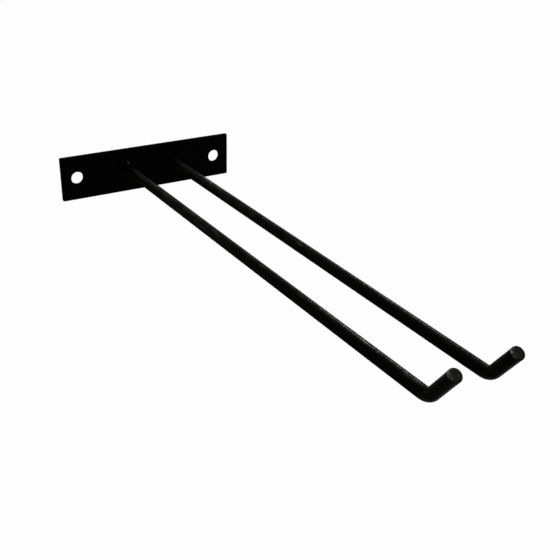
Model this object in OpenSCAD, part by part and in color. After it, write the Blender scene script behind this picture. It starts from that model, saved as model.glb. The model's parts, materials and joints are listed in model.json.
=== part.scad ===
// Wall mop holder rack: a flat steel plate is screwed to the wall, and two arms of round bar
// stand out from its front face, each turned up near its free end. What the rack holds hangs
// between the arms or on them, and the upturned ends keep it from sliding off.
// Sizes are in millimetres. The origin is the middle of the plate's back face, on the wall.
// +X runs along the wall to the right as the rack is faced, +Y into the wall, and +Z up.

/* [Back plate] */
// Length of the plate along the wall
plate_w = 124; // [110:1:300]
// Height of the plate
plate_h = 30; // [24:1:60]
// Thickness of the plate
plate_t = 2; // [1.5:0.5:6]
// Radius of the plate's four corners
corner_r = 1; // [0.5:0.5:6]

/* [Wall holes] */
// Distance from each end of the plate to the middle of its screw hole
hole_inset = 11; // [8:0.5:16]
// Diameter of the screw holes
hole_d = 8.3; // [4:0.1:10]

/* [Arms] */
// Diameter of the round bar
bar_d = 6.35; // [5:0.05:10]
// Distance between the two arms, middle to middle
arm_pitch = 33.7; // [24:0.1:55]
// Height of the arms above the middle of the plate
arm_rise = 2.4; // [-4:0.1:4]
// Straight length of bar from the front of the plate to the bend
arm_run = 313; // [100:1:500]

/* [Upturned ends] */
// Angle that the bar turns up from the level
bend_angle = 54; // [20:1:90]
// Radius of the bend at the middle of the bar
bend_r = 8; // [6:0.5:30]
// Straight length of bar from the bend to its cut end
tip_run = 18; // [6:0.5:60]
// Growth of the bar's radius at its cut end, where cropping spread it
tip_flare = 0.15; // [0.05:0.05:0.4]
// Length of bar over which the cut end spreads
flare_run = 4; // [1:0.5:4]
// Radius of the rounding around the cut end
tip_round = 0.8; // [0.2:0.1:1.5]
// Growth of the bar's radius where it is pressed round the bend
bend_swell = 0.05; // [0.02:0.01:0.2]

/* [Welds] */
// Leg of the fillet weld round each arm, along the plate and along the bar
weld_leg = 2.5; // [1.5:0.1:4]
// Rise of the weld's rounded face above a flat one
weld_crown = 0.3; // [0.1:0.05:0.6]

/* [Hidden] */
$fn = 96;

coat = "#161616";
bar_r = bar_d / 2;
tip_r = bar_r + tip_flare;
left = -1;
right = 1;
// Depth past each face of the plate that the hole drills run
drill_over = 1;

// The weld's face is an arc through its two toes: its radius, and the distance of its
// middle from the corner where bar and plate meet, measured along X and along Y alike
weld_chord = weld_leg * sqrt(2);
weld_face_r = (pow(weld_chord / 2, 2) + pow(weld_crown, 2)) / (2 * weld_crown);
weld_middle = (weld_chord / 2 + weld_crown - weld_face_r) / sqrt(2);

// Stands a shape drawn on the level up against the wall: its Y becomes up, its Z comes forward
module stand_off_wall() {
    rotate([90, 0, 0]) children();
}

// Puts a shape where an arm meets the front of the plate, with its Z along the bar
module at_arm_root(side) {
    translate([side * arm_pitch / 2, -plate_t, arm_rise]) stand_off_wall() children();
}

// Outline of the plate: a strip with its four corners rounded off
module plate_outline() {
    square([plate_w - 2 * corner_r, plate_h], center = true);
    square([plate_w, plate_h - 2 * corner_r], center = true);
    for (x = [-1, 1], y = [-1, 1])
        translate([x * (plate_w / 2 - corner_r), y * (plate_h / 2 - corner_r)]) circle(r = corner_r);
}

// Steel strip that lies flat on the wall, punched near each end for a screw
module back_plate() {
    color(coat) stand_off_wall() difference() {
        linear_extrude(plate_t) plate_outline();
        for (side = [left, right])
            translate([side * (plate_w / 2 - hole_inset), 0, -drill_over])
                cylinder(d = hole_d, h = plate_t + 2 * drill_over);
    }
}

// Bend of the bar, from level to its upturned end, a little swollen by the bending
module bend() {
    translate([0, bend_r, 0]) rotate([90, 0, -90])
        rotate_extrude(angle = bend_angle) translate([bend_r, 0]) circle(r = bar_r + bend_swell);
}

// Puts a shape at the end of the bend, with its Z along the upturned bar
module after_bend() {
    translate([0, bend_r * (1 - cos(bend_angle)), bend_r * sin(bend_angle)])
        rotate([-bend_angle, 0, 0]) children();
}

// Cut face of the bar, with its edge rounded off
module tip_face() {
    face_r = tip_r - tip_round;
    rotate_extrude() {
        square([face_r, tip_round]);
        translate([face_r, 0]) intersection() {
            circle(r = tip_round);
            square(tip_round);
        }
    }
}

// Upturned end of the bar, let into the swell of the bend and spread a little at its cut face
module tip() {
    flare_end = tip_run - tip_round;
    plain_run = flare_end - flare_run;
    translate([0, 0, -bend_swell]) cylinder(r = bar_r, h = plain_run + bend_swell);
    translate([0, 0, plain_run]) cylinder(r1 = bar_r, r2 = tip_r, h = flare_run);
    translate([0, 0, flare_end]) tip_face();
}

// Round bar, cut square at the plate and bent up once near its free end
module bent_bar() {
    cylinder(r = bar_r, h = arm_run + bend_swell);
    translate([0, 0, arm_run]) {
        bend();
        after_bend() tip();
    }
}

// Fillet of weld metal, run once round the foot of a bar, with a rounded face
module fillet_weld() {
    rotate_extrude() translate([bar_r, 0]) intersection() {
        square(2 * weld_leg);
        translate([weld_middle, weld_middle]) circle(r = weld_face_r);
    }
}

module left_arm() {
    color(coat) at_arm_root(left) bent_bar();
}

module right_arm() {
    color(coat) at_arm_root(right) bent_bar();
}

module left_weld() {
    color(coat) at_arm_root(left) fillet_weld();
}

module right_weld() {
    color(coat) at_arm_root(right) fillet_weld();
}

back_plate();
left_arm();
right_arm();
left_weld();
right_weld();
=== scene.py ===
import json
import math

import bmesh
import bpy
from mathutils import Matrix, Vector


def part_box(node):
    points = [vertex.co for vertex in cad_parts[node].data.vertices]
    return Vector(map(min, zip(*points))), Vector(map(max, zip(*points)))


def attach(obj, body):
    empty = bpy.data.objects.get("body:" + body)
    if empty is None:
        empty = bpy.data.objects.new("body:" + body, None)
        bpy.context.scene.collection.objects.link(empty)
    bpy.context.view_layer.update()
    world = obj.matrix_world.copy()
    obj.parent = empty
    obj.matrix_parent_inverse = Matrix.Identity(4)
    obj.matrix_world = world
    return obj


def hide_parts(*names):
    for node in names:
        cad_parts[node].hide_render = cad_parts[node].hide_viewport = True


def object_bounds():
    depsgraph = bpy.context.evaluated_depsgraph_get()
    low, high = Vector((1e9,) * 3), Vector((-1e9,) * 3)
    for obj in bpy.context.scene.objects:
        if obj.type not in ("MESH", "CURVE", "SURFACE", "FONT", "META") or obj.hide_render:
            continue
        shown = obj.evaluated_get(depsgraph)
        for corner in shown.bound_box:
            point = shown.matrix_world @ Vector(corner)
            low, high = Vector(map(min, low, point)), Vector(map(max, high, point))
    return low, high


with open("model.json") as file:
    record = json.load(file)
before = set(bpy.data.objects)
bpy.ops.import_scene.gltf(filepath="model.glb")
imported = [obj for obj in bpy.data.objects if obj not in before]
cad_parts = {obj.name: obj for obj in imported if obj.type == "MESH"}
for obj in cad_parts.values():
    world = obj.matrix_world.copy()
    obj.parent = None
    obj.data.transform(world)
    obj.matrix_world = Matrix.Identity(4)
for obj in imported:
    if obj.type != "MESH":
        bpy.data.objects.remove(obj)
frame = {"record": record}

cad_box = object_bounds()

# Back plate
# A strip of mild steel sheared to length, nipped round at its corners and punched near each end
# for a wall screw. It is powder coated black after the arms are welded on, so the coat runs over
# its dressed edges, where it wears thin first.
plate_low, plate_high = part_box("back_plate")
plate_size = plate_high - plate_low
plate_middle = (plate_low + plate_high) / 2
plate_corner_r = 0.001
plate_edge_r = 0.0003
screws = next(m for m in frame["record"]["mounts"] if m["name"] == "wall_screws")
hole_r = screws["dims"]["hole_r_mm"] / 1000
hole_reach = screws["dims"]["spacing_x_mm"] / 2000
hole_sides = 64
sharp_edge = math.radians(60)
slope_slack = 0.001
face_wear = 0.12
wall_wear = 0.3
edge_wear = 0.55
facing_front = Matrix.Rotation(math.radians(90), 4, "X")

plate = bmesh.new()
bmesh.ops.create_grid(plate, x_segments=1, y_segments=1, size=0.5)
bmesh.ops.scale(plate, verts=plate.verts, vec=(plate_size.x, plate_size.z, 1))
bmesh.ops.bevel(
    plate, geom=plate.verts[:], offset=plate_corner_r, affect="VERTICES",
    segments=6, profile=0.5, material=-1,
)
for end in (-1, 1):
    bmesh.ops.create_circle(
        plate, segments=hole_sides, radius=hole_r, matrix=Matrix.Translation((end * hole_reach, 0, 0)),
    )
bmesh.ops.delete(plate, geom=plate.faces[:], context="FACES_ONLY")
bmesh.ops.triangle_fill(plate, use_beauty=True, edges=plate.edges[:], normal=(0, 0, 1))
walls = bmesh.ops.extrude_face_region(plate, geom=plate.faces[:])
bmesh.ops.translate(
    plate, verts=[g for g in walls["geom"] if isinstance(g, bmesh.types.BMVert)],
    vec=(0, 0, plate_size.y),
)
bmesh.ops.recalc_face_normals(plate, faces=plate.faces[:])
bmesh.ops.bevel(
    plate, geom=[e for e in plate.edges if e.calc_face_angle(0) > sharp_edge],
    offset=plate_edge_r, affect="EDGES", segments=3, profile=0.5, material=-1,
)
plate_worn = plate.faces.layers.float.new("wear_and_highlight")
for face in plate.faces:
    flat = abs(face.normal.z) > 1 - slope_slack
    upright = abs(face.normal.z) < slope_slack
    face.smooth = not flat
    face[plate_worn] = face_wear if flat else wall_wear if upright else edge_wear
bmesh.ops.transform(
    plate, verts=plate.verts,
    matrix=Matrix.Translation((plate_middle.x, plate_high.y, plate_middle.z)) @ facing_front,
)


def coat_skin():
    """Shader group of baked black powder, rippled like orange peel.

    Attributes drawn on a piece say where the coat is worn and where highlights and glints are painted
    on it, where it is dusty, where the piece was cropped and its cut end painted lit and shaded, and
    where the coat is unhandled and so still matt.
    """
    streaks_per_metre = 260.0
    streak_squeeze = 0.22
    patches_per_metre = 85.0
    chips_per_metre = 900.0
    flecks_per_metre = 620.0
    ripples_per_metre = 750.0
    grains_per_metre = 2800.0
    grain_share = 0.2
    noise_low = 0.3
    noise_high = 0.7
    rub_blend = 0.35
    faintest_fleck = 0.3
    bare_margin = 0.55
    bare_blend = 0.2
    palest_dust = 0.16
    smoothest_crop = 0.3
    roughest_crop = 1.7
    unhandled_matt = 0.7
    rubbed_polish = -0.1

    group = bpy.data.node_groups.new("powder_coat_skin", "ShaderNodeTree")
    for name, kind in (
        ("Coat", "NodeSocketColor"),
        ("Rubbed And Lit Coat", "NodeSocketColor"),
        ("Bare Steel And Glint", "NodeSocketColor"),
        ("Satin", "NodeSocketFloat"),
        ("Matt", "NodeSocketFloat"),
    ):
        group.interface.new_socket(name, in_out="INPUT", socket_type=kind)
    for name, kind in (
        ("Color", "NodeSocketColor"),
        ("Roughness", "NodeSocketFloat"),
        ("Height", "NodeSocketFloat"),
    ):
        group.interface.new_socket(name, in_out="OUTPUT", socket_type=kind)
    nodes, links = group.nodes, group.links
    given = nodes.new("NodeGroupInput").outputs
    result = nodes.new("NodeGroupOutput").inputs
    place = nodes.new("ShaderNodeTexCoord").outputs["Object"]

    def drawn_on(name):
        node = nodes.new("ShaderNodeAttribute")
        node.attribute_name = name
        return node.outputs["Fac"]

    def noise(vector, scale, detail):
        node = nodes.new("ShaderNodeTexNoise")
        node.inputs["Scale"].default_value = scale
        node.inputs["Detail"].default_value = detail
        links.new(vector, node.inputs["Vector"])
        return node.outputs["Fac"]

    def math_node(operation, *values):
        node = nodes.new("ShaderNodeMath")
        node.operation = operation
        for socket, value in zip(node.inputs, values):
            if isinstance(value, float):
                socket.default_value = value
            else:
                links.new(value, socket)
        return node.outputs["Value"]

    def spread(value, low, high, to_low=0.0, to_high=1.0, smooth=False):
        node = nodes.new("ShaderNodeMapRange")
        node.interpolation_type = "SMOOTHSTEP" if smooth else "LINEAR"
        keys = ("Value", "From Min", "From Max", "To Min", "To Max")
        for key, setting in zip(keys, (value, low, high, to_low, to_high)):
            if isinstance(setting, float):
                node.inputs[key].default_value = setting
            else:
                links.new(setting, node.inputs[key])
        return node.outputs["Result"]

    def blend(factor, first, second):
        node = nodes.new("ShaderNodeMix")
        node.data_type = "RGBA"
        links.new(factor, node.inputs["Factor"])
        links.new(first, node.inputs["A"])
        links.new(second, node.inputs["B"])
        return node.outputs["Result"]

    along_bar = nodes.new("ShaderNodeMapping")
    along_bar.inputs["Scale"].default_value = (1.0, streak_squeeze, 1.0)
    links.new(place, along_bar.inputs["Vector"])
    streak_noise = noise(along_bar.outputs["Vector"], streaks_per_metre, detail=4.0)
    streaks = spread(streak_noise, noise_low, noise_high)
    patches = noise(place, patches_per_metre, detail=3.0)
    chips = spread(noise(place, chips_per_metre, detail=3.0), noise_low, noise_high)
    fleck_noise = noise(place, flecks_per_metre, detail=2.0)
    flecks = spread(fleck_noise, low=0.42, high=0.6, to_low=faintest_fleck, smooth=True)
    ripples = noise(place, ripples_per_metre, detail=1.0)
    grains = noise(place, grains_per_metre, detail=2.0)

    # Wear marks, which on the arms and one weld are also painted highlights and glints
    keeps = math_node("SUBTRACT", 1.0, drawn_on("wear_and_highlight"))
    rubbed_and_highlit = spread(streaks, keeps, math_node("ADD", keeps, rub_blend), smooth=True)
    # Bare steel where the coat has gone, which also serves as painted glints
    holds = math_node("ADD", keeps, bare_margin)
    bared_and_glinting = spread(chips, holds, math_node("ADD", holds, bare_blend), smooth=True)
    settled = spread(patches, low=0.4, high=0.66, to_high=palest_dust, smooth=True)
    dust = math_node("MULTIPLY", settled, drawn_on("dusty"))
    torn = spread(chips, low=0.1, high=0.9, to_low=smoothest_crop, to_high=roughest_crop)
    cropped_and_lit = math_node("MULTIPLY", torn, drawn_on("cropped_and_lit"))

    # The greyed tone: wear, dust and the cut end, with painted highlights and painted light on the cut
    # end among them
    rub_highlight_or_cut = math_node("MAXIMUM", math_node("MULTIPLY", rubbed_and_highlit, flecks), cropped_and_lit)
    greyed = math_node("MAXIMUM", rub_highlight_or_cut, dust)
    coat_or_greyed = blend(greyed, given["Coat"], given["Rubbed And Lit Coat"])
    links.new(blend(bared_and_glinting, coat_or_greyed, given["Bare Steel And Glint"]), result["Color"])
    satin_or_matt = spread(patches, low=0.35, high=0.65, to_low=given["Satin"], to_high=given["Matt"])
    as_baked = math_node("MULTIPLY_ADD", drawn_on("unhandled"), unhandled_matt, satin_or_matt)
    links.new(math_node("MULTIPLY_ADD", rubbed_and_highlit, rubbed_polish, as_baked), result["Roughness"])
    links.new(math_node("MULTIPLY_ADD", grains, grain_share, ripples), result["Height"])
    return group


skin = coat_skin()
coat_shine = 0.0065


def coated(name, coat, rubbed_and_lit_coat, bare_steel_and_glint, satin, matt, peel_depth):
    """Material of one piece: the shared skin with that piece's own tones, gloss and relief."""
    material = bpy.data.materials.new(name)
    material.use_nodes = True
    nodes, links = material.node_tree.nodes, material.node_tree.links
    shader = nodes["Principled BSDF"]
    shader.inputs["Specular IOR Level"].default_value = coat_shine
    cover = nodes.new("ShaderNodeGroup")
    cover.node_tree = skin
    for key, tone in (("Coat", coat), ("Rubbed And Lit Coat", rubbed_and_lit_coat), ("Bare Steel And Glint", bare_steel_and_glint)):
        cover.inputs[key].default_value = (*tone, 1.0)
    cover.inputs["Satin"].default_value = satin
    cover.inputs["Matt"].default_value = matt
    relief = nodes.new("ShaderNodeBump")
    relief.inputs["Distance"].default_value = peel_depth
    links.new(cover.outputs["Height"], relief.inputs["Height"])
    links.new(cover.outputs["Color"], shader.inputs["Base Color"])
    links.new(cover.outputs["Roughness"], shader.inputs["Roughness"])
    links.new(relief.outputs["Normal"], shader.inputs["Normal"])
    return material


def finished(name, mesh, material, node):
    """Turns a mesh into the shown piece that stands for a CAD node."""
    data = bpy.data.meshes.new(name)
    mesh.to_mesh(data)
    mesh.free()
    data.materials.append(material)
    piece = bpy.data.objects.new(name, data)
    bpy.context.scene.collection.objects.link(piece)
    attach(piece, "root")
    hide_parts(node)


plate_coat = coated(
    "plate_coat", coat=(0.0006, 0.0006, 0.0005), rubbed_and_lit_coat=(0.006, 0.0061, 0.0052),
    bare_steel_and_glint=(0.03, 0.03, 0.028), satin=0.42, matt=0.6, peel_depth=0.00008,
)
finished("back_plate_strip", plate, plate_coat, "back_plate")

# Arms
# Two lengths of round mild steel bar, bent up cold over a former. The free end is cropped, which
# spreads it a little and leaves a burr, and dressed round. What hangs on an arm rubs and polishes
# the coat on top, in a place of its own on each, and wipes off the dust that settles nearer the wall.
# Painted light lies over this: the tops and rubbed stretches carry painted highlights, the feet
# painted shade, and the cut end a painted lit grey, a shaded rim and a painted glint along the burr.
bar_r = 0.003175
coat_depth = 0.0001
bar_sides = 48
arm_run = 0.313
bend_r = 0.008
bend_angle = math.radians(54)
tip_run = 0.018
tip_flare = 0.00015
flare_run = 0.004
rim_run = 0.001
tip_round = 0.0008
# Near the plate the arms are kept dark as painted shade; wear and dust start at these distances
# from the plate and from the bend, and build up over a ramp
foot_shade_reach = 0.015
foot_shade_fade = 0.03
dust_start = 0.1
dust_ramp = 0.1
# The tops are lighter, partly from wear and partly as a painted highlight
top_wear_and_highlight = 0.4
# The most rubbed place of each arm, by its distance from the bend, which also carries a painted
# highlight streak
rub_highlight_places = {"left": 0.042, "right": 0.255}
rub_highlight_reach = 0.04
rub_highlight_wear = 0.7
rub_highlight_narrowing = 12
# Nothing polishes the flanks and the underside, which begin where the normal rises less than this
underside_slope = 0.4
underside_blend = 0.5
# The cropped end is greyer than the coat, partly from thinned coat and partly painted as lit, darker
# round its rim as painted shade, and bright along its burr as a painted glint
cut_depth = 1.1 * tip_round
cut_lit_grey = 0.34
rim_shade = 0.2
burr_glint_way = Vector((-0.89, 0.37, 0.27))
burr_glint_grey = 1.3
burr_glint_wear = 1.5
arm_feet = {}
for side in ("left", "right"):
    weld_low, weld_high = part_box(side + "_weld")
    weld_centre = (weld_low + weld_high) / 2
    arm_feet[side] = Vector((weld_centre.x, plate_low.y, weld_centre.z))
forward = Vector((0, -1, 0))
tip_way = Vector((0, -math.cos(bend_angle), math.sin(bend_angle)))


def ramp_up(value, start, length):
    """0 up to the start and 1 from the ramp's end on, with an even rise between them."""
    return min(1, max(0, (value - start) / length))


def far_ring(geometry):
    """The ring of edges at the free end of what was just drawn out, with its points."""
    points = [g for g in geometry if isinstance(g, bmesh.types.BMVert)]
    edges = [g for g in geometry if isinstance(g, bmesh.types.BMEdge) and set(g.verts) <= set(points)]
    return edges, points


def draw_out(bar, ring, way, length, steps, growth=1.0):
    """Draws the bar's open ring straight out in equal steps, growing it as it goes."""
    each = growth ** (1 / steps)
    for step in range(steps):
        ring, points = far_ring(bmesh.ops.extrude_edge_only(bar, edges=ring)["geom"])
        bmesh.ops.translate(bar, verts=points, vec=way * (length / steps))
        middle = sum((p.co for p in points), Vector()) / len(points)
        bmesh.ops.scale(bar, verts=points, vec=(each, each, each), space=Matrix.Translation(-middle))
    return ring


def bent_bar(foot, rub_highlight_place):
    """One arm: bar drawn out from the plate, turned up over the former and rounded at its cut end."""
    bar = bmesh.new()
    bmesh.ops.create_circle(
        bar, cap_ends=True, segments=bar_sides, radius=bar_r + coat_depth,
        matrix=Matrix.Translation(foot) @ facing_front,
    )
    ring = draw_out(bar, bar.edges[:], forward, arm_run, steps=40)
    turned = bmesh.ops.spin(
        bar, geom=ring, cent=foot + forward * arm_run + Vector((0, 0, bend_r)),
        axis=(-1, 0, 0), angle=bend_angle, steps=14,
    )
    ring = far_ring(turned["geom_last"])[0]
    ring = draw_out(bar, ring, tip_way, tip_run - flare_run - rim_run, steps=4)
    spread_out = (bar_r + tip_flare) / (bar_r + coat_depth)
    ring = draw_out(bar, ring, tip_way, flare_run, steps=2, growth=spread_out)
    ring = draw_out(bar, ring, tip_way, rim_run, steps=1)
    cut = bmesh.ops.contextual_create(bar, geom=ring)["faces"]
    bmesh.ops.recalc_face_normals(bar, faces=bar.faces[:])
    cut_place = cut[0].calc_center_median()
    bmesh.ops.bevel(
        bar, geom=ring, offset=tip_round, affect="EDGES", segments=4, profile=0.5, material=-1,
    )
    cut = [f for f in bar.faces if (f.calc_center_median() - cut_place).length < bar_r / 2]
    bmesh.ops.inset_region(bar, faces=cut, thickness=tip_round)
    bar.normal_update()
    wear_and_highlight = bar.verts.layers.float.new("wear_and_highlight")
    dusty = bar.verts.layers.float.new("dusty")
    cropped_and_lit = bar.verts.layers.float.new("cropped_and_lit")
    unhandled = bar.verts.layers.float.new("unhandled")
    for vert in bar.verts:
        to_bend = vert.co.y - (foot.y - arm_run)
        to_cut = (cut_place - vert.co).dot(tip_way)
        # Rises from 0 at the foot, which is kept dark as painted shade, to 1 beyond it
        reach_beyond_foot_shade = ramp_up(foot.y - vert.co.y, foot_shade_reach, foot_shade_fade)
        rubbed_and_highlit = 1 - ramp_up(abs(to_bend - rub_highlight_place), 0, rub_highlight_reach)
        upward = max(0, vert.normal.z)
        # Worn tops and rubbed stretches, which are also painted highlights, are held back at the foot
        # as painted shade
        vert[wear_and_highlight] = reach_beyond_foot_shade * (top_wear_and_highlight * upward ** 2 + rub_highlight_wear * rubbed_and_highlit * upward ** rub_highlight_narrowing)
        vert[dusty] = reach_beyond_foot_shade * ramp_up(to_bend, dust_start, dust_ramp)
        if to_bend > 0:
            vert[unhandled] = ramp_up(-vert.normal.z, -underside_slope, underside_blend)
        # On the cut end: a face painted greyer as if lit, painted shade round the rim, and a painted
        # glint on the burr
        if to_cut < cut_depth:
            from_axis = (vert.co - cut_place + tip_way * to_cut).length
            rim = 1 - ramp_up(abs(from_axis - bar_r + tip_round / 2), 0, tip_round)
            burr_glint = max(0, (vert.co - cut_place).dot(burr_glint_way)) / bar_r
            vert[wear_and_highlight] = burr_glint_wear * burr_glint ** 4
            vert[cropped_and_lit] = cut_lit_grey + rim * (burr_glint_grey * burr_glint - rim_shade)
    for face in bar.faces:
        face.smooth = len(face.verts) < bar_sides
    return bar


# The rubbed tone also serves as the painted highlights, and the bare steel tone as the painted glints
arm_coat = coated(
    "arm_coat", coat=(0.0009, 0.001, 0.0003), rubbed_and_lit_coat=(0.03, 0.0307, 0.024),
    bare_steel_and_glint=(0.14, 0.14, 0.135), satin=0.16, matt=0.28, peel_depth=0.00012,
)
for side, foot in arm_feet.items():
    finished(side + "_bent_bar", bent_bar(foot, rub_highlight_places[side]), arm_coat, side + "_arm")

# Welds
# A single run of weld metal round the foot of each arm, laid by hand, so its face is rippled by the
# overlapping pools. It fuses bar to plate, and the coat runs on over it, thin on the crests. On the
# left, one crest close to the bar carries a painted glint, a bare steel tone in place of a highlight.
# Both welds are alike, so the one measured last gives their size
weld_leg = weld_high.z - weld_centre.z - bar_r
weld_crown = 0.0003
weld_pools = 13
steps_per_pool = 12
face_points = 9
pool_rise = 0.00022
pool_bow = 0.55
first_pools = {"left": 0.9, "right": 0.6}
crest_wear = 0.2
# The painted glint: the pool of each weld that carries it, its strength, and its place across the face
glint_pools = {"left": 3, "right": None}
glint_wear = 1.7
# Across the weld's face, from -1 at the plate to 1 at the bar
glint_place = 0.7


def weld_bead(foot, first_pool, glint_pool):
    """A ring of weld: its rounded face is spun round the bar, then rippled pool by pool."""
    bead = bmesh.new()
    corner = foot + Vector((bar_r, 0, 0))
    on_plate = corner + Vector((weld_leg, 0, 0))
    on_bar = corner + forward * weld_leg
    outward = Vector((1, -1, 0)).normalized()
    section = [bead.verts.new(corner)]
    for k in range(face_points):
        across = k / (face_points - 1)
        swell = weld_crown * (1 - (2 * across - 1) ** 2)
        section.append(bead.verts.new(on_plate.lerp(on_bar, across) + outward * swell))
    outline = [bead.edges.new(pair) for pair in zip(section, section[1:] + section[:1])]
    bmesh.ops.spin(
        bead, geom=section + outline, cent=foot, axis=(0, 1, 0), angle=2 * math.pi,
        steps=weld_pools * steps_per_pool, use_merge=True,
    )
    bmesh.ops.remove_doubles(bead, verts=bead.verts, dist=1e-6)
    bmesh.ops.recalc_face_normals(bead, faces=bead.faces[:])
    wear_and_highlight = bead.verts.layers.float.new("wear_and_highlight")
    for vert in bead.verts:
        from_bar = Vector((vert.co.x - foot.x, 0, vert.co.z - foot.z))
        reach = foot.y - vert.co.y
        on_face = from_bar.length - bar_r + reach > weld_leg / 2
        if on_face:
            across = 2 * reach / weld_leg - 1
            turn = math.atan2(from_bar.z, from_bar.x) / (2 * math.pi)
            pool, along = divmod(turn * weld_pools + first_pool + pool_bow * across ** 2, 1)
            crest = math.sqrt(along) * (1 - across ** 4)
            vert.co += (from_bar.normalized() + forward).normalized() * pool_rise * crest
            vert[wear_and_highlight] = crest_wear * crest
            # The painted glint, shown in the bare steel tone
            if pool == glint_pool:
                vert[wear_and_highlight] = glint_wear * math.sqrt(along) * (1 - abs(across - glint_place))
    for face in bead.faces:
        face.smooth = True
    return bead


# Its bare steel tone shows only as the painted glint
weld_coat = coated(
    "weld_coat", coat=(0.0006, 0.0006, 0.0005), rubbed_and_lit_coat=(0.007, 0.0071, 0.006),
    bare_steel_and_glint=(0.1, 0.1, 0.096), satin=0.3, matt=0.46, peel_depth=0.00006,
)
for side, foot in arm_feet.items():
    bead = weld_bead(foot, first_pools[side], glint_pools[side])
    finished(side + "_weld_bead", bead, weld_coat, side + "_weld")

# Floor
# A plain pale studio floor, well below the rack, which hangs at the height of a wall bracket.
# It shows white to the eye and in reflections, less the shade that the rack throws on it.
floor_drop = 0.5
floor_half = 30.0
floor_tone = 0.3
floor_roughness = 0.9
floor_glow = 0.65


def sees_stage(nodes, links):
    """1 for camera, glossy and see-through rays, which are shown the white of the studio."""
    path = nodes.new("ShaderNodeLightPath")
    ray = path.outputs["Is Camera Ray"]
    for other in ("Is Glossy Ray", "Is Transmission Ray"):
        either = nodes.new("ShaderNodeMath")
        either.operation = "MAXIMUM"
        links.new(ray, either.inputs[0])
        links.new(path.outputs[other], either.inputs[1])
        ray = either.outputs["Value"]
    return ray


floor_mesh = bmesh.new()
bmesh.ops.create_grid(
    floor_mesh, x_segments=1, y_segments=1, size=floor_half,
    matrix=Matrix.Translation((0, 0, cad_box[0][2] - floor_drop)),
)
floor_data = bpy.data.meshes.new("studio_floor")
floor_mesh.to_mesh(floor_data)
floor_mesh.free()
floor = bpy.data.objects.new("studio_floor", floor_data)
bpy.context.scene.collection.objects.link(floor)
floor_paint = bpy.data.materials.new("floor_paint")
floor_paint.use_nodes = True
floor_nodes, floor_links = floor_paint.node_tree.nodes, floor_paint.node_tree.links
floor_shader = floor_nodes["Principled BSDF"]
floor_shader.inputs["Base Color"].default_value = (floor_tone, floor_tone, floor_tone, 1.0)
floor_shader.inputs["Roughness"].default_value = floor_roughness
floor_shader.inputs["Specular IOR Level"].default_value = 0.0
floor_shader.inputs["Emission Color"].default_value = (1.0, 1.0, 1.0, 1.0)
shown_white = floor_nodes.new("ShaderNodeMath")
shown_white.operation = "MULTIPLY"
shown_white.inputs[1].default_value = floor_glow
floor_links.new(sees_stage(floor_nodes, floor_links), shown_white.inputs[0])
floor_links.new(shown_white.outputs["Value"], floor_shader.inputs["Emission Strength"])
floor_data.materials.append(floor_paint)

# Studio light
# A broad softbox hangs above the rack and a little behind it, and a narrow one stands behind it to
# the right: they show as a band and a line of light along the tops of the bars. One in front lights
# the plate and the cut ends, and a white room the rest.
room_light = 0.45
room_white = 1.0
room = bpy.data.worlds.new("white_room")
bpy.context.scene.world = room
room.use_nodes = True
room_nodes, room_links = room.node_tree.nodes, room.node_tree.links
room_shader = room_nodes["Background"]
room_shader.inputs["Color"].default_value = (1.0, 1.0, 1.0, 1.0)
room_level = room_nodes.new("ShaderNodeMapRange")
room_level.inputs["To Min"].default_value = room_light
room_level.inputs["To Max"].default_value = room_white
room_links.new(sees_stage(room_nodes, room_links), room_level.inputs["Value"])
room_links.new(room_level.outputs["Result"], room_shader.inputs["Strength"])
for name, way, level, spread_angle in (
    ("overhead_softbox", Vector((0.05, 0.42, 0.9)), 1.2, math.radians(48)),
    ("narrow_softbox", Vector((0.58, 0.655, 0.48)), 0.9, math.radians(5)),
    ("front_softbox", Vector((0.45, -0.7, 0.55)), 1.0, math.radians(40)),
):
    lamp_data = bpy.data.lights.new(name, "SUN")
    lamp_data.energy = level
    lamp_data.angle = spread_angle
    lamp = bpy.data.objects.new(name, lamp_data)
    bpy.context.scene.collection.objects.link(lamp)
    lamp.rotation_euler = way.to_track_quat("Z", "Y").to_euler()

# Camera
# Stands in front of the rack, to its left and above it, at the place worked out from the plate's
# outline and the arms in the photograph, and leans over by a degree or two.
camera_place = Vector((-0.2252, -0.5324, 0.1995))
camera_turn = math.radians(-32.36)
camera_tilt = math.radians(26.60)
camera_roll = math.radians(1.66)
camera_lens = 55.32
camera_data = bpy.data.cameras.new("photo_camera")
camera_data.sensor_width = 36.0
camera_data.lens = camera_lens
camera_data.clip_start = 0.01
camera = bpy.data.objects.new("photo_camera", camera_data)
bpy.context.scene.collection.objects.link(camera)
camera.matrix_world = (
    Matrix.Translation(camera_place)
    @ Matrix.Rotation(camera_turn, 4, "Z")
    @ Matrix.Rotation(math.radians(90) - camera_tilt, 4, "X")
    @ Matrix.Rotation(camera_roll, 4, "Z")
)
bpy.context.scene.camera = camera
bpy.context.scene.view_settings.view_transform = "Standard"
